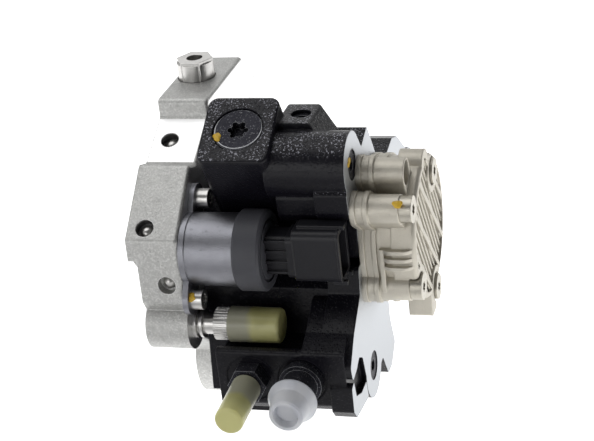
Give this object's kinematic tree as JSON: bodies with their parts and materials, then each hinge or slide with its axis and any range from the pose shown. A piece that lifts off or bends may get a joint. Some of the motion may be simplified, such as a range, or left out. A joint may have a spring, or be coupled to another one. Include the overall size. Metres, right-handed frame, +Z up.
{
  "type": "diesel injection pump",
  "caption": "Radial-piston common-rail diesel pump: cast flange and black housing, gear-type feed pump at the rear, metering unit, overflow valve and capped ports.",
  "frame": {"origin": "on the drive shaft's axis, in the mounting face of the flange", "axes": "+X along the shaft from the flange to the feed pump, +Z up, -Y towards the metering unit and the ports"},
  "size_m": [0.1653, 0.2115, 0.1838],
  "materials": {
    "cast_aluminium": "cast, machined on its faces",
    "black_housing": "cast, glossy black paint",
    "bright_steel": "machined and plated",
    "seal_rubber": "satin",
    "bearing_bronze": "machined",
    "black_plug": "phosphated black",
    "meter_steel": "blue-grey plated",
    "copper_coil": "enamelled winding",
    "grey_plastic": "matt",
    "black_plastic": "satin",
    "pin_brass": "tinned",
    "amber_cap": "translucent",
    "milky_cap": "translucent",
    "feed_alloy": "die cast"
  },
  "bodies": {
    "pump_body": {"connector_pins": "pin_brass", "cylinder_plugs": "black_plug", "drilling_balls": "bright_steel", "feed_base": "feed_alloy", "feed_cover": "feed_alloy", "feed_plate": "feed_alloy", "feed_screws": "bright_steel", "flange_screws": "bright_steel", "front_bush": "bearing_bronze", "gallery_plug": "black_plug", "idler_pin": "bright_steel", "inlet_port": "black_plug", "inlet_valve_seats": "bright_steel", "metering_body": "meter_steel", "metering_cap": "grey_plastic", "metering_coil": "copper_coil", "metering_connector": "black_plastic", "metering_screws": "bright_steel", "metering_seal": "seal_rubber", "metering_spring": "bright_steel", "mounting_flange": "cast_aluminium", "outlet_stub": "black_plug", "overflow_spring": "bright_steel", "overflow_valve": "bright_steel", "plunger_spring_1": "bright_steel", "plunger_spring_2": "bright_steel", "plunger_spring_3": "bright_steel", "pump_housing": "black_housing", "rear_bush": "bearing_bronze", "rear_plugs": "black_plug", "return_fitting": "bright_steel", "return_nut": "bright_steel", "shaft_seal": "seal_rubber"},
    "drive_shaft_body": {"drive_shaft": "bright_steel", "shaft_key": "bright_steel", "coupling": "bright_steel", "driver_gear": "bright_steel"},
    "cam_ring_body": {"cam_ring": "bright_steel", "ring_bush": "bearing_bronze"},
    "driven_gear_body": {"driven_gear": "bright_steel"},
    "metering_spool_body": {"metering_spool": "bright_steel"},
    "overflow_piston_body": {"overflow_piston": "bright_steel"},
    "return_cap_body": {"return_cap": "amber_cap"},
    "outlet_cap_body": {"outlet_cap": "amber_cap"},
    "inlet_cap_body": {"inlet_cap": "milky_cap"},
    "plunger_1_body": {"plunger_1": "bright_steel", "tappet_1": "bright_steel"},
    "plunger_2_body": {"plunger_2": "bright_steel", "tappet_2": "bright_steel"},
    "plunger_3_body": {"plunger_3": "bright_steel", "tappet_3": "bright_steel"}
  },
  "joints": [
    {"name": "shaft_spin", "type": "hinge", "parent": "pump_body", "child": "drive_shaft_body", "pos_m": [0, 0, 0], "axis": [1, 0, 0], "continuous": true},
    {"name": "cam_ring_turn", "type": "hinge", "parent": "drive_shaft_body", "child": "cam_ring_body", "pos_m": [0.0545, -0.00175, 0.00303], "axis": [1, 0, 0], "continuous": true},
    {"name": "driven_gear_spin", "type": "hinge", "parent": "pump_body", "child": "driven_gear_body", "pos_m": [0.121, -0.02007, 0.02229], "axis": [1, 0, 0], "continuous": true},
    {"name": "spool_slide", "type": "slide", "parent": "pump_body", "child": "metering_spool_body", "axis": [1, 0, 0], "range_m": [0, 0.003], "stiffness_N_per_m": 2500, "springref_m": -0.001, "deforming": ["metering_spring"]},
    {"name": "overflow_piston_lift", "type": "slide", "parent": "pump_body", "child": "overflow_piston_body", "axis": [0, 0, 1], "range_m": [0, 0.0025], "stiffness_N_per_m": 3000, "springref_m": -0.002, "deforming": ["overflow_spring"]},
    {"name": "return_cap_pull", "type": "slide", "parent": "pump_body", "child": "return_cap_body", "axis": [1, 0, 0], "range_m": [0, 0.012]},
    {"name": "outlet_cap_pull", "type": "slide", "parent": "pump_body", "child": "outlet_cap_body", "axis": [0, -1, 0], "range_m": [0, 0.019]},
    {"name": "inlet_cap_pull", "type": "slide", "parent": "pump_body", "child": "inlet_cap_body", "axis": [0, -1, 0], "range_m": [0, 0.011]},
    {"name": "plunger_1_stroke", "type": "slide", "parent": "pump_body", "child": "plunger_1_body", "axis": [0, -0.5, 0.866], "range_m": [0, 0.007], "stiffness_N_per_m": 12000, "springref_m": -0.004, "deforming": ["plunger_spring_1"]},
    {"name": "plunger_2_stroke", "type": "slide", "parent": "pump_body", "child": "plunger_2_body", "axis": [0, -0.5, -0.866], "range_m": [0, 0.007], "stiffness_N_per_m": 12000, "springref_m": -0.004, "deforming": ["plunger_spring_2"]},
    {"name": "plunger_3_stroke", "type": "slide", "parent": "pump_body", "child": "plunger_3_body", "axis": [0, 1, 0], "range_m": [0, 0.007], "stiffness_N_per_m": 12000, "springref_m": -0.004, "deforming": ["plunger_spring_3"]}
  ],
  "couplings": [
    {"joint": "cam_ring_turn", "follows": "shaft_spin", "ratio": -1},
    {"joint": "driven_gear_spin", "follows": "shaft_spin", "ratio": -1}
  ]
}
